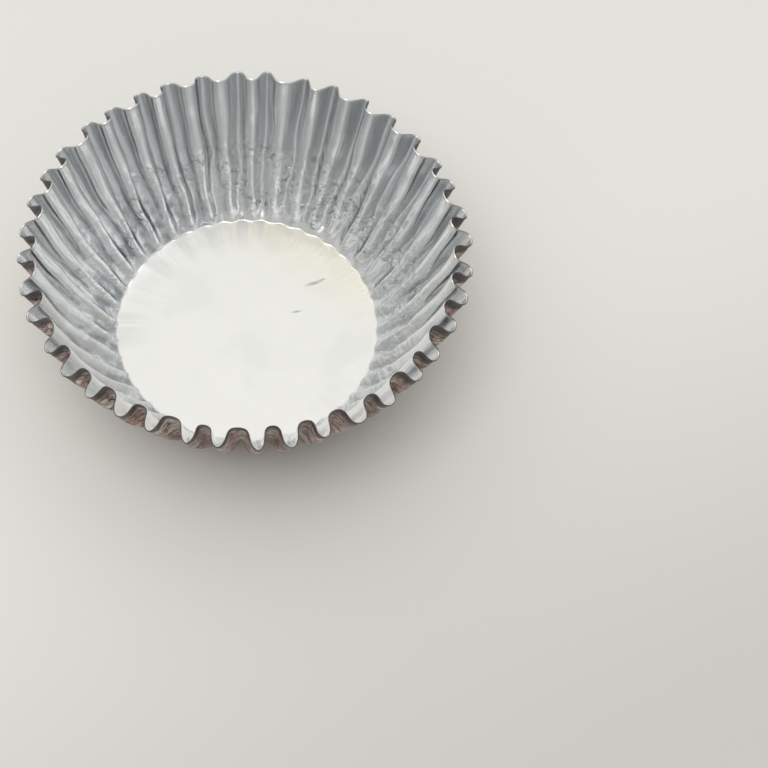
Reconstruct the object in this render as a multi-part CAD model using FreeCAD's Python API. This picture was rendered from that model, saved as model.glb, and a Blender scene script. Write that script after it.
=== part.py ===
# Fluted cupcake liner, pressed from one round blank of foil-lined paper.
# Lengths are in millimetres. The origin is the middle of the base's underside, and +Z is up, out of the mouth.

import FreeCAD
import Part
import math
import os

DRIVING_SIZES = [
    ("base_diameter", "50.8", "flat base, across the middle of the edge's scallops (2 in)"),
    ("wall_length", "31.75", "wall measured up its slope, base edge to rim (1 1/4 in)"),
    ("wall_flare", "28.5", "mean lean of the wall from upright, in degrees"),
    ("wall_bow", "10", "degrees more lean than that at the base edge, and less at the rim"),
    ("flute_count", "40", "flutes pressed into the wall"),
    ("edge_scallop", "0.4", "depth of the flutes where they start, at the base edge"),
    ("sheet_thickness", "0.1", "foil and paper together"),
]

# Where the wall's rings lie above the base edge, as shares of its length. The flutes deepen
# fastest just above the base, and almost evenly from there to the rim.
RING_SHARES = [0.06, 0.5, 1.0]
FACETS_PER_FLUTE = 12
BOW_STEPS = 24


def make_sheet(doc):
    """Puts the driving sizes in a spreadsheet, one alias each."""
    sheet = doc.addObject("Spreadsheet::Sheet", "sizes")
    for row, (alias, value, note) in enumerate(DRIVING_SIZES, start=1):
        sheet.set(f"A{row}", alias)
        sheet.set(f"B{row}", value)
        sheet.set(f"C{row}", note)
        sheet.setAlias(f"B{row}", alias)
    doc.recompute()
    return sheet


def wave_stretch(steepness):
    """Length of a sine wave over its wavelength, where steepness is its steepest slope."""
    samples = 48
    slopes = [steepness * math.cos(2 * math.pi * i / samples) for i in range(samples)]
    return sum(math.hypot(1, slope) for slope in slopes) / samples


def paper_half_depth(cup_radius, blank_radius, flute_count):
    """Half the depth of flutes that take up a ring of the blank, drawn in to cup_radius."""
    wanted = blank_radius / cup_radius
    low, high = 0.0, 10.0
    for _ in range(40):
        steepness = (low + high) / 2
        if wave_stretch(steepness) < wanted:
            low = steepness
        else:
            high = steepness
    return low * cup_radius / flute_count


class Wall:
    """The fluted wall's form, measured up its slope from the base edge."""

    def __init__(self, sizes):
        self.base_radius = float(sizes.base_diameter) / 2
        self.flare = math.radians(float(sizes.wall_flare))
        self.bow = math.radians(float(sizes.wall_bow))
        self.length = float(sizes.wall_length)
        self.flutes = int(round(float(sizes.flute_count)))
        self.scallop = float(sizes.edge_scallop) / 2
        self.thickness = float(sizes.sheet_thickness)
        count = self.flutes * FACETS_PER_FLUTE
        self.turns = [2 * math.pi * i / count for i in range(count)]

    def lean(self, slope):
        """The wall's lean from upright, which falls evenly from the base edge to the rim."""
        return self.flare + self.bow * (1 - 2 * slope / self.length)

    def mean_place(self, slope):
        """Radius and height of the middle of the flutes, summed in short steps up the slope."""
        step = slope / BOW_STEPS
        leans = [self.lean((i + 0.5) * step) for i in range(BOW_STEPS)]
        radius = self.base_radius + step * sum(math.sin(lean) for lean in leans)
        return radius, step * sum(math.cos(lean) for lean in leans)

    def half_depth(self, slope):
        """Half the flutes' depth, square to the wall's slope."""
        mean = self.mean_place(slope)[0]
        paper = paper_half_depth(mean, self.base_radius + slope, self.flutes)
        return math.hypot(paper, self.scallop)

    def edge_ring(self, height, inset):
        """The base edge's scalloped outline, level at this height and moved inwards by inset."""
        points = []
        for turn in self.turns:
            radius = self.base_radius - inset + self.scallop * math.cos(self.flutes * turn)
            points.append(around(radius, 0, height, turn))
        return Part.makePolygon(points + points[:1])

    def wall_ring(self, slope, inset):
        """A wavy ring round the wall, moved inwards by inset, square to the paper."""
        half = self.half_depth(slope)
        lean = self.lean(slope)
        mean, middle = self.mean_place(slope)
        points = []
        for turn in self.turns:
            swing = half * math.cos(self.flutes * turn)
            radius = mean + swing * math.cos(lean)
            height = middle - swing * math.sin(lean)
            inwards = FreeCAD.Vector(
                -radius * math.cos(lean),
                -half * self.flutes * math.sin(self.flutes * turn),
                radius * math.sin(lean),
            )
            inwards.normalize()
            inwards *= inset
            points.append(around(radius + inwards.x, inwards.y, height + inwards.z, turn))
        return Part.makePolygon(points + points[:1])


def around(outwards, sideways, height, turn):
    """The point that lies outwards and sideways of the axis, turned about it."""
    return FreeCAD.Vector(
        outwards * math.cos(turn) - sideways * math.sin(turn),
        outwards * math.sin(turn) + sideways * math.cos(turn),
        height,
    )


def make_rings(doc, name, wall, edge, inset):
    """The rings of one face of the paper, from the base edge up to the rim."""
    outlines = [edge]
    outlines += [wall.wall_ring(share * wall.length, inset) for share in RING_SHARES]
    rings = []
    for index, outline in enumerate(outlines):
        ring = doc.addObject("Part::Feature", f"{name}_ring_{index}")
        ring.Shape = outline
        rings.append(ring)
    return rings


def make_skin(doc, name, rings):
    """A fluted surface, straight from each ring to the next."""
    skin = doc.addObject("Part::Loft", name)
    skin.Sections = rings
    skin.Solid = False
    skin.Ruled = True
    return skin


def make_disc(doc, name, ring):
    """The level face of the base that a ring bounds."""
    disc = doc.addObject("Part::Feature", name)
    disc.Shape = Part.Face(Part.Wire(ring.Shape.Edges))
    return disc


def check(doc, liner):
    """Stops the build where an object has failed or the liner isn't one closed solid."""
    for item in doc.Objects:
        if "Invalid" in item.State or "Error" in item.State:
            raise RuntimeError(f"{item.Name} has failed: {item.State}")
    if not liner.Shape.isValid() or len(liner.Shape.Solids) != 1 or liner.Shape.Volume <= 0:
        raise RuntimeError("the liner isn't one valid solid")


def main():
    doc = FreeCAD.newDocument("cupcake_liner")
    wall = Wall(make_sheet(doc))
    foot = wall.lean(0)
    corner = wall.thickness * (1 - math.sin(foot)) / math.cos(foot)
    outer_rings = make_rings(doc, "printed", wall, wall.edge_ring(0, 0), 0)
    inner_edge = wall.edge_ring(wall.thickness, corner)
    inner_rings = make_rings(doc, "foil", wall, inner_edge, wall.thickness)
    surfaces = [
        make_skin(doc, "printed_wall", outer_rings),
        make_skin(doc, "foil_wall", inner_rings),
        make_skin(doc, "cut_rim", [outer_rings[-1], inner_rings[-1]]),
        make_disc(doc, "printed_base", outer_rings[0]),
        make_disc(doc, "foil_base", inner_rings[0]),
    ]
    doc.recompute()
    shell = Part.makeShell([face for surface in surfaces for face in surface.Shape.Faces])
    shell.sewShape()
    liner = doc.addObject("Part::Feature", "liner")
    liner.Label = "liner"
    liner.Shape = Part.makeSolid(shell)
    doc.recompute()
    check(doc, liner)
    os.makedirs("parts", exist_ok=True)
    liner.Shape.exportStep("parts/liner.step")


main()
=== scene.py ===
import math

import bpy
import numpy as np
from mathutils import Matrix, Vector


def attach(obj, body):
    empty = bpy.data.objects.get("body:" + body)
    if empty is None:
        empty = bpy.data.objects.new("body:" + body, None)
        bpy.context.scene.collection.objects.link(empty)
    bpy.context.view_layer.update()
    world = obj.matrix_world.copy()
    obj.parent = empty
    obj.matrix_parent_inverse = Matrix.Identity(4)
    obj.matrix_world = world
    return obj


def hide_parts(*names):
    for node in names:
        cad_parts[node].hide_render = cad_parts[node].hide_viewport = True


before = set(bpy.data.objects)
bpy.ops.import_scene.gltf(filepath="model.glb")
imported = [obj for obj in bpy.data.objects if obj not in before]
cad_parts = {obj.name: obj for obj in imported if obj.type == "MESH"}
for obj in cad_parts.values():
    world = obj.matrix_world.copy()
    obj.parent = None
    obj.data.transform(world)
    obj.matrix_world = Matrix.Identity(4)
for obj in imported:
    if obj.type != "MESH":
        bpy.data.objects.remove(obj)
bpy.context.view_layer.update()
print("frame loaded")

# Everything is in metres and degrees. The liner stands on the floor at Z = 0, its mouth up.
# Climb is the distance up the wall from the base edge, and shares are of the wall's length.
liner = {
    "baseDiameter": 0.0508,
    "wallLength": 0.03175,
    "wallFlare": 28.5,
    "wallBow": 10.0,
    "flutes": 40,
    "edgeScallop": 0.0004,
    "thickness": 0.0001,
    "rimThickness": 0.00022,
    "rimFlare": 0.00022,
    "rimBand": 0.0005,
    "foldRadius": 0.00030,
    "fluteOnset": 0.0012,
    "backOnset": 0.0026,  # added to fluteOnset at the back
    "liftOnset": 0.0008,
    "deepening": 1.20,
    "backDeepening": 0.14,
    "lowDeepening": 0.50,
    "lowFade": 0.009,
    "lobeRounding": 0.48,
    "lobeClimb": (0.001, 0.024),
    "backLobeLoss": 0.85,
    "frontLobeLoss": 0.35,
    "pointedMiddle": 78.0,
    "pointedSpread": 34.0,
    "backPointing": 0.42,
    "backShares": (0.30, 0.80),
    "narrowMiddle": 262.0,
    "narrowSpread": 42.0,
    "frontPointing": 0.34,
    "frontShares": (0.50, 0.95),
    "ridgeSharpness": 0.58,
    "ridgeShares": (0.25, 0.85),
    # where the foil's colour is darkened in the grooves, as painted shade
    "grooveShadeShares": (0.30, 0.75),
    "grooveShadeWave": (-0.3, 0.7),
    "columnsPerFlute": 18,
    "baseRows": 6,
    "foldRows": 7,
    "foldRowsReach": 0.62,  # of the fold's radius
    "lowWallRows": 32,
    "lowWallShare": 0.55,
    "highWallRows": 14,
}

# The bends' waves run askew: so many round the liner, and so many up its wall.
bendWaves = ((9, 1.1), (14, -1.6), (22, 2.1), (31, -0.8), (37, 1.7))
unevenness = {
    "wander": {"amount": 0.10, "seed": 5, "waves": (3, 7, 11, 17, 23)},
    "depth": {"amount": 0.10, "seed": 8, "waves": (2, 5, 13, 19, 29, 37)},
    "outOfRound": {"amount": 0.00028, "seed": 3, "waves": (2, 3, 5)},
    "rimRise": {"amount": 0.00018, "seed": 21, "waves": (4, 9, 14)},
    "bendDepth": {"amount": 0.10, "seed": 4, "waves": bendWaves},
    "bend": {"amount": 0.00030, "seed": 6, "waves": bendWaves},
    "bendClimb": (0.001, 0.006),
    "bendShares": (0.6, 1.0),
}


def softStep(value, start, end):
    # 0 before start, 1 after end, and 3t2 - 2t3 between
    share = np.clip((value - start) / (end - start), 0, 1)
    return share * share * (3 - 2 * share)


def waveStretch(steepness):
    # mean of the root of 1 + (steepness cos)2 over one wave
    swing = np.cos(np.linspace(0, 2 * np.pi, 64, endpoint=False))
    return np.sqrt(1 + (steepness[:, None] * swing) ** 2).mean(axis=1)


def fluteHalfDepth(climb):
    # the depth at which a sine wave takes up the paper that a ring of the blank has to spare
    baseRadius = liner["baseDiameter"] / 2
    cupRadius = baseRadius + climb * math.sin(math.radians(liner["wallFlare"]))
    steepness = np.linspace(0, 4, 400)
    wanted = (baseRadius + climb) / cupRadius
    found = np.interp(wanted, waveStretch(steepness), steepness)
    return found * cupRadius / liner["flutes"]


climbs = np.linspace(0, liner["wallLength"] * 1.05, 120)
depthTable = (climbs, fluteHalfDepth(climbs))


def angleFrom(turn, middle):
    # the way round from the middle, between half a turn back and half a turn on
    return (turn - middle + np.pi) % (2 * np.pi) - np.pi


def nearSide(turn, middle, spread):
    # exp(-(angle / spread)2): 1 in the middle of one side of the liner, falling away round it
    aside = angleFrom(turn, math.radians(middle))
    return np.exp(-((aside / math.radians(spread)) ** 2))


def slowNoise(turn, kind):
    # the amount times a sum of sines round the liner, each a whole number of waves
    rng = np.random.default_rng(kind["seed"])
    total = np.zeros_like(turn)
    for count in kind["waves"]:
        total += np.sin(count * turn + rng.uniform(0, 2 * np.pi)) * rng.uniform(0.5, 1)
    return kind["amount"] * (total / math.sqrt(len(kind["waves"])))


def bendNoise(turn, share, kind):
    # the amount times a sum of sines that run askew, round the liner and up its wall
    rng = np.random.default_rng(kind["seed"])
    total = np.zeros_like(turn)
    for sideways, up in kind["waves"]:
        shift = rng.uniform(0, 2 * np.pi)
        total += np.sin(sideways * turn + 2 * np.pi * up * share + shift) * rng.uniform(0.5, 1)
    return kind["amount"] * (total / math.sqrt(len(kind["waves"])))


def blankRows():
    # distances from the blank's middle: across the base, round the fold, and up the wall
    baseRadius = liner["baseDiameter"] / 2
    foldReach = liner["foldRadius"] * liner["foldRowsReach"] + liner["edgeScallop"]
    start, end = baseRadius - foldReach, baseRadius + foldReach
    across = np.linspace(0, start, liner["baseRows"] + 1)[1:]
    fold = np.linspace(start, end, liner["foldRows"] + 1)[1:]
    middle = baseRadius + liner["wallLength"] * liner["lowWallShare"]
    lowWall = np.linspace(end, middle, liner["lowWallRows"] + 1)[1:]
    blankRadius = baseRadius + liner["wallLength"]
    lastRow = blankRadius - liner["rimBand"]
    highWall = np.linspace(middle, lastRow, liner["highWallRows"] + 1)[1:]
    rim = np.linspace(lastRow, blankRadius, 3)[1:]
    return np.concatenate([across, fold, lowWall, highWall, rim])


# Two dents in three lie round the back right, about "side", a middle and spread in radians, and
# the third lies anywhere.
dents = {
    "count": 620,
    "seed": 11,
    "depth": 0.00017,
    "depths": (0.3, 1),
    "climb": (0.0004, 0.002),
    "lowestShare": 0.05,
    "shareRange": 0.55,
    "shareForm": (1.4, 1.6),
    "side": (1.1, 0.95),
    "highs": (0.0010, 0.0026),
    "widths": (0.0005, 0.0009),
    "widening": 0.48,
    "lean": 0.5,
}


def dentField(reach, turn):
    # small pits and bulges, each exp(-(distance / size)2), low on the wall and most at its back
    rng = np.random.default_rng(dents["seed"])
    baseRadius = liner["baseDiameter"] / 2
    total = np.zeros_like(reach)
    for number in range(dents["count"]):
        share = dents["lowestShare"] + dents["shareRange"] * rng.beta(*dents["shareForm"])
        climb = share * liner["wallLength"]
        side = rng.normal(*dents["side"]) if number % 3 else rng.uniform(0, 2 * np.pi)
        high = rng.uniform(*dents["highs"])
        wide = rng.uniform(*dents["widths"])
        depth = rng.uniform(*dents["depths"]) * rng.choice([-1, 1])
        lean = rng.normal(0, dents["lean"])
        up = reach - (baseRadius + climb)
        across = angleFrom(turn, side) * (baseRadius + climb * dents["widening"]) - up * lean
        total += depth * np.exp(-((up / high) ** 2) - (across / wide) ** 2)
    return total * dents["depth"]


def sheetSurface(reach, turn):
    # base, fold arc and leaning wall joined end to end, then swung in and out across the wall
    climbAngle = np.pi / 2 - math.radians(liner["wallFlare"])
    baseRadius = liner["baseDiameter"] / 2
    climb = np.maximum(reach - baseRadius, 0)
    wallShare = np.clip((reach - baseRadius) / liner["wallLength"], 0, 1)
    phase = liner["flutes"] * turn
    phase = phase + 2 * np.pi * slowNoise(turn, unevenness["wander"]) * wallShare

    # the crests come to a point high up at the back and are narrow at the front; elsewhere they
    # are round, and low down the ridges between them are sharp
    pointed = nearSide(turn, liner["pointedMiddle"], liner["pointedSpread"])
    narrow = nearSide(turn, liner["narrowMiddle"], liner["narrowSpread"])
    low = 1 - softStep(wallShare, *liner["ridgeShares"])
    pointing = liner["backPointing"] * pointed * softStep(wallShare, *liner["backShares"])
    pointing -= liner["ridgeSharpness"] * (1 - pointed) * low
    pointing += liner["frontPointing"] * narrow * softStep(wallShare, *liner["frontShares"])
    wave = np.cos(phase + pointing * np.sin(phase))

    # the middle of the swing: the wall bows, so its lean falls evenly from base edge to rim
    foldStart = baseRadius + liner["edgeScallop"] / 2 * wave
    foldStart = foldStart - liner["foldRadius"] * math.tan(climbAngle / 2)
    arc = liner["foldRadius"] * climbAngle
    angle = np.clip(reach - foldStart, 0, arc) / liner["foldRadius"]
    past = np.maximum(reach - foldStart - arc, 0)
    pastShare = past / liner["wallLength"]
    sag = math.radians(liner["wallBow"]) * liner["wallLength"] * (pastShare - pastShare**2)
    radius = np.minimum(reach, foldStart) + liner["foldRadius"] * np.sin(angle)
    radius += past * math.cos(climbAngle) + sag * math.sin(climbAngle)
    height = liner["foldRadius"] * (1 - np.cos(angle)) + past * math.sin(climbAngle)
    height -= sag * math.cos(climbAngle)

    # the flutes start at the base edge, and more slowly at the back
    spread = 1 + slowNoise(turn, unevenness["depth"])
    spread += bendNoise(turn, wallShare, unevenness["bendDepth"])
    deepening = liner["deepening"] + liner["lowDeepening"] * np.exp(-climb / liner["lowFade"])
    deepening += liner["backDeepening"] * pointed
    onset = liner["fluteOnset"] + liner["backOnset"] * pointed
    half = np.interp(climb, *depthTable)
    swing = half * deepening * spread * wave * softStep(climb, 0, onset)
    swing += dentField(reach, turn) * softStep(climb, *dents["climb"])
    swing += slowNoise(turn, unevenness["outOfRound"]) * wallShare

    # their flanks stand steeper and their crests rounder towards the rim, and they bend
    rounding = liner["lobeRounding"] * softStep(climb, *liner["lobeClimb"])
    rounding *= (1 - liner["backLobeLoss"] * pointed) * (1 - liner["frontLobeLoss"] * narrow)
    bend = bendNoise(turn, wallShare, unevenness["bend"])
    bend *= softStep(climb, *unevenness["bendClimb"])
    bend *= 1 - softStep(wallShare, *unevenness["bendShares"])
    turn = turn + rounding * np.sin(2 * phase) / liner["flutes"]
    turn = turn + bend / np.maximum(radius, baseRadius)

    # the cut edge turns out a little
    rimShare = np.clip((reach - baseRadius - liner["wallLength"]) / liner["rimBand"] + 1, 0, 1)
    swing += liner["rimFlare"] * rimShare**2
    radius = radius + swing * np.sin(angle)
    height = height - swing * np.cos(angle) * softStep(climb, 0, liner["liftOnset"])
    height += slowNoise(turn, unevenness["rimRise"]) * wallShare**2
    points = np.stack([radius * np.cos(turn), radius * np.sin(turn), height], axis=-1)

    # painted shade: the foil's colour is darkened in the grooves, all the way up except low down
    # at the back
    high = softStep(wallShare, *liner["grooveShadeShares"])
    grooveShade = softStep(wave, *liner["grooveShadeWave"]) * (high + (1 - high) * (1 - pointed))
    return points, grooveShade, rimShare


def inwardNormals(points):
    # the cross product of the ways up and round the sheet, by differences between neighbours
    up = np.gradient(points, axis=0)
    sideways = np.roll(points, -1, axis=1) - np.roll(points, 1, axis=1)
    normal = np.cross(up, sideways)
    return normal / np.linalg.norm(normal, axis=2, keepdims=True)


def makeLinerMesh():
    rows = blankRows()
    columns = liner["flutes"] * liner["columnsPerFlute"]
    turns = np.linspace(0, 2 * np.pi, columns, endpoint=False)
    reach, turn = np.meshgrid(rows, turns, indexing="ij")
    printed, grooveShade, rimShare = sheetSurface(reach, turn)
    # the paper and foil part a little at the cut edge
    thickness = liner["thickness"] + (liner["rimThickness"] - liner["thickness"]) * rimShare
    foil = printed + inwardNormals(printed) * thickness[..., None]

    count = len(rows) * columns
    middlePrinted, middleFoil = 2 * count, 2 * count + 1
    points = np.concatenate([printed.reshape(-1, 3), foil.reshape(-1, 3)])
    points = np.vstack([points, [0, 0, 0], [0, 0, liner["thickness"]]])

    # quads over both faces of the sheet and its cut edge, and triangles to the base's middle
    grid = np.arange(count).reshape(len(rows), columns)
    around = np.roll(grid, -1, axis=1)
    sheet = np.stack([grid[:-1], grid[1:], around[1:], around[:-1]], axis=-1).reshape(-1, 4)
    rim = np.stack([grid[-1], around[-1], around[-1] + count, grid[-1] + count], axis=-1)
    quads = np.vstack([sheet[:, ::-1], sheet + count, rim])
    hub = np.stack([grid[0], around[0]], axis=-1)
    foilHub = np.column_stack([np.full(columns, middleFoil), hub + count])
    printedHub = np.column_stack([hub[:, ::-1], np.full(columns, middlePrinted)])
    faces = quads.tolist() + foilHub.tolist() + printedHub.tolist()
    mesh = bpy.data.meshes.new("liner")
    mesh.from_pydata(points.tolist(), [], faces)

    # 0 is foil, 1 is print
    kinds = np.concatenate([
        np.ones(len(sheet)), np.zeros(len(sheet)), np.ones(len(rim)),
        np.zeros(columns), np.ones(columns),
    ])
    mesh.polygons.foreach_set("material_index", kinds.astype(np.int32))
    mesh.polygons.foreach_set("use_smooth", np.ones(len(faces), bool))

    # where each point lay on the flat blank, and how far round and how far out it is
    flat = np.stack([reach * np.cos(turn), reach * np.sin(turn), 0 * reach], axis=-1)
    flat = np.vstack([flat.reshape(-1, 3), flat.reshape(-1, 3), [[0, 0, 0], [0, 0, 0]]])
    spoke = np.stack([np.cos(turn), np.sin(turn), reach], axis=-1).reshape(-1, 3)
    spoke = np.vstack([spoke, spoke, [[1, 0, 0], [1, 0, 0]]])
    grooveShade = np.concatenate([grooveShade.ravel(), grooveShade.ravel(), [0, 0]])
    for name, values in (("blankPlace", flat), ("spokePlace", spoke)):
        layer = mesh.attributes.new(name, "FLOAT_VECTOR", "POINT")
        layer.data.foreach_set("vector", values.astype(np.float32).ravel())
    # painted shade in the grooves, carried to the foil's colour
    layer = mesh.attributes.new("paintedGrooveShade", "FLOAT", "POINT")
    layer.data.foreach_set("value", grooveShade.astype(np.float32))
    mesh.validate()
    mesh.update()
    return mesh


def setInputs(node, **values):
    for name, value in values.items():
        node.inputs[name.replace("_", " ")].default_value = value


def fillSocket(tree, socket, value):
    # links another node's output, or sets a plain value
    if isinstance(value, bpy.types.NodeSocket):
        tree.links.new(value, socket)
    else:
        socket.default_value = value


def blankMaterial(name):
    material = bpy.data.materials.new(name)
    material.use_nodes = True
    tree = material.node_tree
    tree.nodes.clear()
    output = tree.nodes.new("ShaderNodeOutputMaterial")
    shader = tree.nodes.new("ShaderNodeBsdfPrincipled")
    tree.links.new(shader.outputs["BSDF"], output.inputs["Surface"])
    return material, tree, shader


def attributeNode(tree, name):
    node = tree.nodes.new("ShaderNodeAttribute")
    node.attribute_name = name
    return node


def partsOf(tree, vector):
    # its X, Y and Z
    node = tree.nodes.new("ShaderNodeSeparateXYZ")
    tree.links.new(vector, node.inputs["Vector"])
    return node.outputs


def placeNode(tree, attribute, scale=(1, 1, 1), turnZ=0.0):
    # the named attribute, turned and then scaled
    turned = tree.nodes.new("ShaderNodeVectorRotate")
    turned.rotation_type = "Z_AXIS"
    turned.inputs["Angle"].default_value = math.radians(turnZ)
    tree.links.new(attributeNode(tree, attribute).outputs["Vector"], turned.inputs["Vector"])
    mapping = tree.nodes.new("ShaderNodeMapping")
    mapping.inputs["Scale"].default_value = scale
    tree.links.new(turned.outputs["Vector"], mapping.inputs["Vector"])
    return mapping.outputs["Vector"]


def noiseNode(tree, vector, scale, detail, roughness):
    node = tree.nodes.new("ShaderNodeTexNoise")
    setInputs(node, Scale=scale, Detail=detail, Roughness=roughness)
    tree.links.new(vector, node.inputs["Vector"])
    return node


def rangeNode(tree, value, low, high, toLow=0.0, toHigh=1.0):
    # toLow before low, toHigh after high, and 3t2 - 2t3 between
    node = tree.nodes.new("ShaderNodeMapRange")
    node.interpolation_type = "SMOOTHSTEP"
    node.inputs["From Min"].default_value = low
    node.inputs["From Max"].default_value = high
    node.inputs["To Min"].default_value = toLow
    node.inputs["To Max"].default_value = toHigh
    tree.links.new(value, node.inputs["Value"])
    return node.outputs["Result"]


def mixColour(tree, factor, first, second):
    # the colour sockets of a Mix node are its inputs 6 and 7 and its output 2
    node = tree.nodes.new("ShaderNodeMix")
    node.data_type = "RGBA"
    for socket, value in ((0, factor), (6, first), (7, second)):
        fillSocket(tree, node.inputs[socket], value)
    return node.outputs[2]


def mathNode(tree, first, second, operation="ADD"):
    node = tree.nodes.new("ShaderNodeMath")
    node.operation = operation
    fillSocket(tree, node.inputs[0], first)
    fillSocket(tree, node.inputs[1], second)
    return node.outputs[0]


def product(tree, first, *others):
    for other in others:
        first = mathNode(tree, first, other, "MULTIPLY")
    return first


def rgb(red, green, blue):
    # a screen colour, 0 to 255, as the linear colour that a shader takes
    values = [v / 255 for v in (red, green, blue)]
    return tuple(v / 12.92 if v < 0.04045 else ((v + 0.055) / 1.055) ** 2.4 for v in values) + (1,)


def makeBrokenSheet():
    # cells with wandering edges, for the foil's crumples and for the bark's chips and cracks
    group = bpy.data.node_groups.new("brokenSheet", "ShaderNodeTree")
    sockets = group.interface
    sockets.new_socket(name="Place", in_out="INPUT", socket_type="NodeSocketVector")
    for name in ("Spacing", "Warp", "Warp Scale"):
        sockets.new_socket(name=name, in_out="INPUT", socket_type="NodeSocketFloat")
    for name in ("Edge Distance", "Middle Distance"):
        sockets.new_socket(name=name, in_out="OUTPUT", socket_type="NodeSocketFloat")
    sockets.new_socket(name="Tint", in_out="OUTPUT", socket_type="NodeSocketColor")
    given = group.nodes.new("NodeGroupInput")
    result = group.nodes.new("NodeGroupOutput")

    # the place, shifted a little by a noise
    noise = noiseNode(group, given.outputs["Place"], 1, 3, 0.6)
    group.links.new(given.outputs["Warp Scale"], noise.inputs["Scale"])
    shift = group.nodes.new("ShaderNodeVectorMath")
    shift.operation = "MULTIPLY_ADD"
    group.links.new(noise.outputs["Color"], shift.inputs[0])
    group.links.new(given.outputs["Warp"], shift.inputs[1])
    group.links.new(given.outputs["Place"], shift.inputs[2])

    # distances are shares of the cells' spacing
    scale = mathNode(group, 1.0, given.outputs["Spacing"], "DIVIDE")
    for feature in ("F1", "DISTANCE_TO_EDGE"):
        cells = group.nodes.new("ShaderNodeTexVoronoi")
        cells.feature = feature
        cells.inputs["Randomness"].default_value = 1
        group.links.new(shift.outputs["Vector"], cells.inputs["Vector"])
        group.links.new(scale, cells.inputs["Scale"])
        if feature == "F1":
            group.links.new(cells.outputs["Distance"], result.inputs["Middle Distance"])
            group.links.new(cells.outputs["Color"], result.inputs["Tint"])
        else:
            group.links.new(cells.outputs["Distance"], result.inputs["Edge Distance"])
    return group


def brokenNode(tree, place, spacing, warp, warpScale):
    node = tree.nodes.new("ShaderNodeGroup")
    node.node_tree = brokenSheet
    setInputs(node, Spacing=spacing, Warp=warp, Warp_Scale=warpScale)
    tree.links.new(place, node.inputs["Place"])
    return node


brokenSheet = makeBrokenSheet()


# A noise is its scale, detail and roughness. A span is where a mask starts and ends, and then
# its two values if they aren't 0 and 1. Spans called climb run from the base edge, upwards.
foilLook = {
    "baseColour": rgb(228, 228, 226),
    "wallColour": rgb(228, 229, 229),
    # painted shade in the grooves
    "grooveShadeColour": rgb(212, 214, 216),
    "wallClimb": (-0.0004, 0.0006),
    "lowWallClimb": (0.020, 0.013),
    "roughness": 0.25,
    "foldRoughness": 0.34,
    "wallRoughness": 0.16,
    "smoothClimb": (0.0006, 0.0030),
    "streakNoise": (60, 3, 0.6),
    "streakHeight": 0.00004,
    "crumpleSize": 0.0018,
    "crumpleWarpScale": 420,
    "crumpleHeight": 0.00011,
    "creaseWidth": 0.16,
    "creaseHeight": 0.00005,
    "patchNoise": (160, 2, 0.6),
    "patchSpan": (0.42, 0.58),
    "baseWaveNoise": (75, 2, 0.5),
    "baseWaveHeight": 0.0005,
    "edgeWaveNoise": (10, 2, 0.5),
    "edgeWaveClimb": (-0.010, -0.001),
    "edgeWaveHeight": 0.00025,
    "warmColour": rgb(232, 229, 210),
    "warmLean": 0.6,
    "warmSpan": (0.012, 0.028, 0, 0.6),
    # painted shade on the base: grey streaks and mottle
    "shadeColour": rgb(212, 213, 212),
    "shadeSideSpan": (0.006, 0.030),
    "shadeWaveSpan": (0.44, 0.64, 0, 0.9),
    "shadeMottleSpan": (0.50, 0.70, 0, 0.3),
    # painted shade along the base's creases
    "creaseShadeColour": rgb(150, 150, 142),
    "creaseShade": 0.75,
    "paintedCreaseShades": [
        {"place": (0.0120, 0.0117), "turn": 24, "length": 0.0026, "width": 0.0006},
        {"place": (0.0135, 0.0127), "turn": 26, "length": 0.0013, "width": 0.0003},
        {"place": (0.0092, 0.0047), "turn": 18, "length": 0.0015, "width": 0.0004},
    ],
    # painted shade: dark marks on the creases and in the grooves
    "shadeMarkColour": rgb(158, 161, 165),
    "markSpan": (0.13, 0.02),
    "markNoise": (700, 2, 0.5),
    "markNoiseSpan": (0.48, 0.60, 0, 0.8),
    "markSideSpan": (-0.020, 0.020, 0.15, 1),
    "poolSpan": (0.40, 0.58),
    "poolClimb": (0.014, 0.004, 0.35, 1),
    "poolSideSpan": (0.004, -0.020),
}


def climbMask(tree, reach, span):
    baseRadius = liner["baseDiameter"] / 2
    return rangeNode(tree, reach, baseRadius + span[0], baseRadius + span[1], *span[2:])


def strokeNode(tree, source, stroke):
    # 1 in the middle of a long thin oval, falling to 0 round its edge
    mapping = tree.nodes.new("ShaderNodeMapping")
    mapping.vector_type = "TEXTURE"
    mapping.inputs["Location"].default_value = (*stroke["place"], 0)
    mapping.inputs["Rotation"].default_value = (0, 0, math.radians(stroke["turn"]))
    mapping.inputs["Scale"].default_value = (stroke["length"], stroke["width"], 1)
    tree.links.new(source, mapping.inputs["Vector"])
    distance = tree.nodes.new("ShaderNodeVectorMath")
    distance.operation = "LENGTH"
    tree.links.new(mapping.outputs["Vector"], distance.inputs[0])
    return rangeNode(tree, distance.outputs["Value"], 1, 0)


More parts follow.
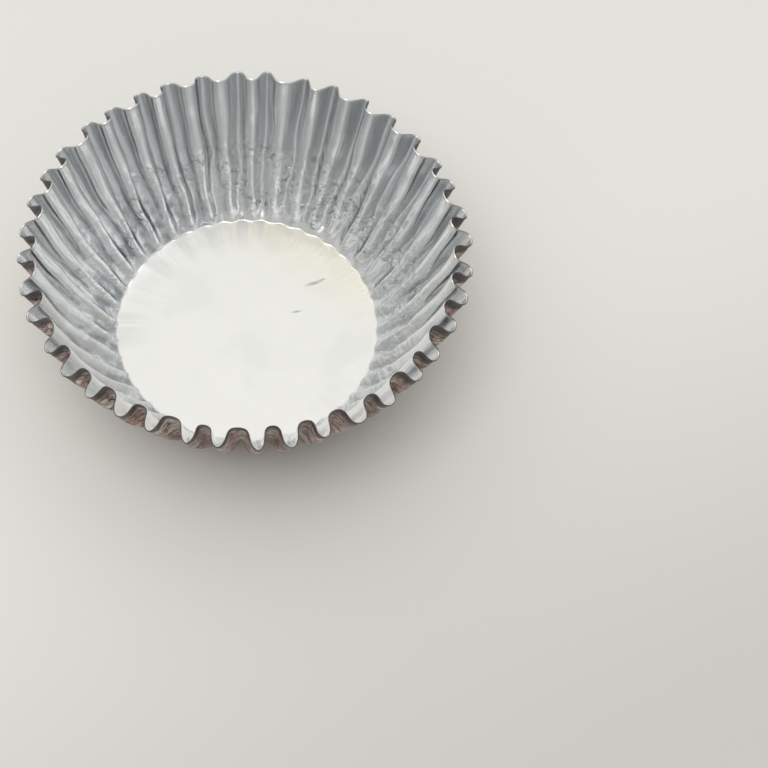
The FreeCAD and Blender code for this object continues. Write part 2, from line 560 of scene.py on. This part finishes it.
def foilPatterns(tree):
    # what the foil's height and colour share
    flatPlace = placeNode(tree, "blankPlace")
    spokePlace = placeNode(tree, "spokePlace")
    reach = partsOf(tree, attributeNode(tree, "spokePlace").outputs["Vector"])["Z"]
    onWall = climbMask(tree, reach, foilLook["wallClimb"])
    offWall = mathNode(tree, 1.0, onWall, "SUBTRACT")
    size = foilLook["crumpleSize"]
    patches = noiseNode(tree, flatPlace, *foilLook["patchNoise"]).outputs["Fac"]
    return {
        "flatPlace": flatPlace,
        "reach": reach,
        "onWall": onWall,
        "offWall": offWall,
        "lowWall": climbMask(tree, reach, foilLook["lowWallClimb"]),
        "streaks": noiseNode(tree, spokePlace, *foilLook["streakNoise"]).outputs["Fac"],
        "crumples": brokenNode(tree, flatPlace, size, size, foilLook["crumpleWarpScale"]),
        "patches": patches,
        "patchy": rangeNode(tree, patches, *foilLook["patchSpan"]),
        "baseWaves": noiseNode(tree, flatPlace, *foilLook["baseWaveNoise"]).outputs["Fac"],
        "edgeWaves": noiseNode(tree, spokePlace, *foilLook["edgeWaveNoise"]).outputs["Fac"],
        "edgeIn": product(tree, climbMask(tree, reach, foilLook["edgeWaveClimb"]), offWall),
    }


def foilHeight(tree, patterns):
    # fine drawn lines that run up the flutes
    onWall = patterns["onWall"]
    streaks = product(tree, patterns["streaks"], onWall, foilLook["streakHeight"])
    # flat dimples and creases between them, where the wall is pressed hardest
    middle = patterns["crumples"].outputs["Middle Distance"]
    edge = patterns["crumples"].outputs["Edge Distance"]
    crease = rangeNode(tree, edge, 0, foilLook["creaseWidth"], 0, foilLook["creaseHeight"])
    crumples = mathNode(tree, product(tree, middle, foilLook["crumpleHeight"]), crease)
    crumples = product(tree, crumples, patterns["lowWall"], onWall, patterns["patchy"])
    # slow waves in the base, and short ones that run in from its edge
    waves = product(tree, patterns["baseWaves"], foilLook["baseWaveHeight"])
    edgeWaves = product(
        tree, patterns["edgeWaves"], patterns["edgeIn"], foilLook["edgeWaveHeight"]
    )
    return mathNode(tree, mathNode(tree, streaks, crumples), mathNode(tree, waves, edgeWaves))


def foilColour(tree, patterns):
    # painted shade in the grooves, and warmer over part of the base
    onWall, offWall = patterns["onWall"], patterns["offWall"]
    flatPlace = patterns["flatPlace"]
    parts = partsOf(tree, flatPlace)
    colour = mixColour(tree, onWall, foilLook["baseColour"], foilLook["wallColour"])
    grooveShadeMask = product(tree, attributeNode(tree, "paintedGrooveShade").outputs["Fac"], onWall)
    colour = mixColour(tree, grooveShadeMask, colour, foilLook["grooveShadeColour"])
    warmSide = mathNode(tree, parts["Y"], product(tree, parts["X"], foilLook["warmLean"]))
    warm = product(tree, rangeNode(tree, warmSide, *foilLook["warmSpan"]), offWall)
    colour = mixColour(tree, warm, colour, foilLook["warmColour"])

    # painted shade: soft grey streaks that run in from the base's edge, most of all behind on the
    # left, and a faint grey mottle over the base
    shadeSide = mathNode(tree, parts["Y"], parts["X"], "SUBTRACT")
    streaky = rangeNode(tree, patterns["edgeWaves"], *foilLook["shadeWaveSpan"])
    onShadeSide = rangeNode(tree, shadeSide, *foilLook["shadeSideSpan"])
    streaky = product(tree, streaky, onShadeSide, patterns["edgeIn"])
    shadeMottle = rangeNode(tree, patterns["baseWaves"], *foilLook["shadeMottleSpan"])
    shade = mathNode(tree, product(tree, shadeMottle, offWall), streaky, "MAXIMUM")
    colour = mixColour(tree, shade, colour, foilLook["shadeColour"])
    # painted shade: dark strokes where the base is creased
    for stroke in foilLook["paintedCreaseShades"]:
        creaseShadeLine = product(tree, strokeNode(tree, flatPlace, stroke), foilLook["creaseShade"])
        colour = mixColour(tree, creaseShadeLine, colour, foilLook["creaseShadeColour"])

    # painted shade: dark marks along broken stretches of the creases, and patches of shade low in
    # the grooves
    edge = patterns["crumples"].outputs["Edge Distance"]
    broken = noiseNode(tree, flatPlace, *foilLook["markNoise"]).outputs["Fac"]
    broken = rangeNode(tree, broken, *foilLook["markNoiseSpan"])
    behind = rangeNode(tree, parts["Y"], *foilLook["markSideSpan"])
    shadeMark = rangeNode(tree, edge, *foilLook["markSpan"])
    shadeMark = product(tree, shadeMark, broken, patterns["patchy"], behind)
    aside = rangeNode(tree, parts["X"], *foilLook["poolSideSpan"])
    poolShade = rangeNode(tree, patterns["patches"], *foilLook["poolSpan"])
    nearBase = climbMask(tree, patterns["reach"], foilLook["poolClimb"])
    poolShade = product(tree, poolShade, nearBase, grooveShadeMask, aside)
    shadeMark = product(tree, mathNode(tree, shadeMark, poolShade, "MAXIMUM"), patterns["lowWall"], onWall)
    return mixColour(tree, shadeMark, colour, foilLook["shadeMarkColour"])


def foilRoughness(tree, patterns):
    # roughest on the fold, and smoothest on the wall
    fold, wall = foilLook["foldRoughness"], foilLook["wallRoughness"]
    rough = rangeNode(tree, patterns["onWall"], 0, 1, foilLook["roughness"], fold)
    pastFold = climbMask(tree, patterns["reach"], foilLook["smoothClimb"])
    return mathNode(tree, rough, product(tree, pastFold, wall - fold))


def makeFoil():
    material, tree, shader = blankMaterial("foil lining")
    patterns = foilPatterns(tree)
    bump = tree.nodes.new("ShaderNodeBump")
    setInputs(bump, Strength=1, Distance=1)
    tree.links.new(foilHeight(tree, patterns), bump.inputs["Height"])
    tree.links.new(bump.outputs["Normal"], shader.inputs["Normal"])
    tree.links.new(foilColour(tree, patterns), shader.inputs["Base Color"])
    tree.links.new(foilRoughness(tree, patterns), shader.inputs["Roughness"])
    setInputs(shader, Metallic=1.0)
    return material


# Its noises and spans are given as the foil's are.
barkLook = {
    "grainTurn": 62.0,
    "warp": 0.0009,
    "chipSize": 0.0011,
    "chipStretch": 0.60,
    "chipWarpScale": 1300,
    "mauveColour": rgb(164, 133, 128),
    "plateColour": rgb(214, 194, 179),
    "plateSpan": (0, 0.8),
    "paleColour": rgb(238, 230, 222),
    "paleSpan": (0.70, 0.95, 0, 0.8),
    "greenColour": rgb(164, 167, 150),
    "greenNoise": (230, 3, 0.6),
    "greenSpan": (0.54, 0.64, 0, 0.7),
    "rustColour": rgb(160, 92, 58),
    "rustNoise": (330, 3, 0.6),
    "rustSpan": (0.57, 0.66, 0, 0.85),
    "fleckNoise": (3125, 2, 0.7),
    "fleckSpan": (0.52, 0.64, 0, 0.75),
    "shadeSpan": (0.47, 0.35, 0, 0.8),
    "seamColour": rgb(88, 55, 54),
    "seamSpan": (0.20, 0),
    "openNoise": (420, 2, 0.5),
    "seamOpenSpan": (0.62, 0.40, 0.25, 0.9),
    "crackColour": rgb(40, 23, 25),
    "crackSpacing": 0.0021,
    "crackStretch": 0.28,
    "crackWarpScale": 1100,
    "crackOpenSpan": (0.34, 0.64, -0.012, 0.040),
    "crackSpan": (0.016, -0.008, 0, 0.95),
    # painted shade along the cut edge
    "edgeShadeColour": rgb(62, 60, 61),
    "edgeBand": 0.0032,
    "edgeShade": 0.88,
    "roughness": 0.55,
}


def makeBark():
    material, tree, shader = blankMaterial("bark print")
    # the print lies on the flat blank, its grain all one way
    flatPlace = placeNode(tree, "blankPlace")
    grain, warp = barkLook["grainTurn"], barkLook["warp"]
    chipPlace = placeNode(tree, "blankPlace", (1, barkLook["chipStretch"], 1), grain)
    crackPlace = placeNode(tree, "blankPlace", (1, barkLook["crackStretch"], 1), grain)

    # chips of bark, each of its own tint
    chips = brokenNode(tree, chipPlace, barkLook["chipSize"], warp, barkLook["chipWarpScale"])
    tint = tree.nodes.new("ShaderNodeSeparateColor")
    tree.links.new(chips.outputs["Tint"], tint.inputs["Color"])
    light = rangeNode(tree, tint.outputs["Red"], *barkLook["plateSpan"])
    colour = mixColour(tree, light, barkLook["mauveColour"], barkLook["plateColour"])
    pale = rangeNode(tree, tint.outputs["Green"], *barkLook["paleSpan"])
    colour = mixColour(tree, pale, colour, barkLook["paleColour"])

    # patches of lichen green, rust where the bark has split, and flecks, pale and dark
    flecks = noiseNode(tree, flatPlace, *barkLook["fleckNoise"])
    layers = (
        (noiseNode(tree, flatPlace, *barkLook["greenNoise"]), "greenSpan", "greenColour"),
        (noiseNode(tree, crackPlace, *barkLook["rustNoise"]), "rustSpan", "rustColour"),
        (flecks, "fleckSpan", "paleColour"),
        (flecks, "shadeSpan", "seamColour"),
    )
    for noise, span, layerColour in layers:
        share = rangeNode(tree, noise.outputs["Fac"], *barkLook[span])
        colour = mixColour(tree, share, colour, barkLook[layerColour])

    # soft seams between the chips, then long thin cracks that open and close along the grain
    openness = noiseNode(tree, flatPlace, *barkLook["openNoise"]).outputs["Fac"]
    seam = rangeNode(tree, chips.outputs["Edge Distance"], *barkLook["seamSpan"])
    seam = product(tree, seam, rangeNode(tree, openness, *barkLook["seamOpenSpan"]))
    colour = mixColour(tree, seam, colour, barkLook["seamColour"])
    spacing, warpScale = barkLook["crackSpacing"], barkLook["crackWarpScale"]
    cracks = brokenNode(tree, crackPlace, spacing, warp, warpScale)
    width = rangeNode(tree, openness, *barkLook["crackOpenSpan"])
    gap = mathNode(tree, cracks.outputs["Edge Distance"], width, "SUBTRACT")
    deep = rangeNode(tree, gap, *barkLook["crackSpan"])
    colour = mixColour(tree, deep, colour, barkLook["crackColour"])

    # painted shade: the print is darkened along the cut edge, where the outside near the rim is
    # shaded
    reach = partsOf(tree, attributeNode(tree, "spokePlace").outputs["Vector"])["Z"]
    band = barkLook["edgeBand"]
    shadedEdgeClimb = (liner["wallLength"] - band, liner["wallLength"] - band / 2)
    edge = climbMask(tree, reach, (*shadedEdgeClimb, 0, barkLook["edgeShade"]))
    colour = mixColour(tree, edge, colour, barkLook["edgeShadeColour"])
    tree.links.new(colour, shader.inputs["Base Color"])
    setInputs(shader, Roughness=barkLook["roughness"])
    return material


def makeLiner():
    mesh = makeLinerMesh()
    mesh.materials.append(makeFoil())
    mesh.materials.append(makeBark())
    piece = bpy.data.objects.new("foilLinedLiner", mesh)
    bpy.context.scene.collection.objects.link(piece)
    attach(piece, "root")
    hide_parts("liner")
    print("liner made,", len(mesh.polygons), "faces")


floor = {
    "size": 3.0,
    "gap": 0.00004,
    # painted light: the floor's fall of light, dim near and bright far
    "nearShadedColour": rgb(196, 195, 191),
    "farLitColour": rgb(222, 221, 217),
    "lean": -0.6,
    "farSpan": (-0.14, 0),
    "roughness": 0.9,
    "specular": 0.1,
}


def makeFloor():
    half = floor["size"] / 2
    mesh = bpy.data.meshes.new("floor")
    low = -floor["gap"]
    corners = [(-half, -half, low), (half, -half, low), (half, half, low), (-half, half, low)]
    mesh.from_pydata(corners, [], [(0, 1, 2, 3)])
    # painted light: paler beyond the liner and on its left, darker near it and on the right, for
    # the fall of the light across the floor
    material, tree, shader = blankMaterial("floor")
    where = tree.nodes.new("ShaderNodeTexCoord")
    parts = partsOf(tree, where.outputs["Object"])
    slope = mathNode(tree, parts["Y"], product(tree, parts["X"], floor["lean"]))
    share = rangeNode(tree, slope, *floor["farSpan"])
    colour = mixColour(tree, share, floor["nearShadedColour"], floor["farLitColour"])
    tree.links.new(colour, shader.inputs["Base Color"])
    setInputs(shader, Roughness=floor["roughness"], Specular_IOR_Level=floor["specular"])
    mesh.materials.append(material)
    piece = bpy.data.objects.new("floor", mesh)
    bpy.context.scene.collection.objects.link(piece)
    print("floor made")


lighting = {
    "skyColour": rgb(255, 254, 250),
    "skyLevel": 1.13,
    "horizonColour": rgb(184, 184, 184),
    "lift": {"Z": 0.8, "Y": 0.5, "X": -0.24},
    "liftSpan": (0.10, 1.10),
    "lampSize": 0.55,
    "lampPlace": (-0.12, -0.26, 0.85),
    "lampPower": 2.5,
}


def makeLights():
    world = bpy.data.worlds.new("room")
    bpy.context.scene.world = world
    world.use_nodes = True
    tree = world.node_tree
    tree.nodes.clear()
    output = tree.nodes.new("ShaderNodeOutputWorld")
    sky = tree.nodes.new("ShaderNodeBackground")
    where = tree.nodes.new("ShaderNodeTexCoord")
    parts = partsOf(tree, where.outputs["Generated"])
    # bright overhead and beyond the liner, dimmer at eye level, on the near side and on the right
    lift = 0.0
    for axis, weight in lighting["lift"].items():
        lift = mathNode(tree, lift, product(tree, parts[axis], weight))
    share = rangeNode(tree, lift, *lighting["liftSpan"])
    colour = mixColour(tree, share, lighting["horizonColour"], lighting["skyColour"])
    tree.links.new(colour, sky.inputs["Color"])
    sky.inputs["Strength"].default_value = lighting["skyLevel"]
    tree.links.new(sky.outputs["Background"], output.inputs["Surface"])

    data = bpy.data.lights.new("lamp", "AREA")
    data.shape = "SQUARE"
    data.size = lighting["lampSize"]
    data.energy = lighting["lampPower"]
    lamp = bpy.data.objects.new("lamp", data)
    lamp.location = lighting["lampPlace"]
    aim = -Vector(lighting["lampPlace"])
    lamp.rotation_euler = aim.to_track_quat("-Z", "Y").to_euler()
    bpy.context.scene.collection.objects.link(lamp)
    print("lights made")


# The lens and place come from matching the rim, base and flutes with the photograph.
view = {
    "place": (0.03241, -0.25783, 0.41681),
    "ahead": (-0.00955, 0.51115, -0.85944),
    "roll": 4.275,
    "lens": 117.2,
    "sensor": 36.0,
    "clipStart": 0.01,
}


def makeCamera():
    data = bpy.data.cameras.new("camera")
    data.lens = view["lens"]
    data.sensor_width = view["sensor"]
    data.clip_start = view["clipStart"]
    camera = bpy.data.objects.new("camera", data)
    bpy.context.scene.collection.objects.link(camera)
    level = Vector(view["ahead"]).to_track_quat("-Z", "Y").to_matrix().to_4x4()
    rolled = level @ Matrix.Rotation(math.radians(view["roll"]), 4, "Z")
    camera.matrix_world = Matrix.Translation(view["place"]) @ rolled
    scene = bpy.context.scene
    scene.camera = camera
    scene.view_settings.view_transform = "Standard"
    print("camera made")


makeLiner()
makeFloor()
makeLights()
makeCamera()
print("scene made")
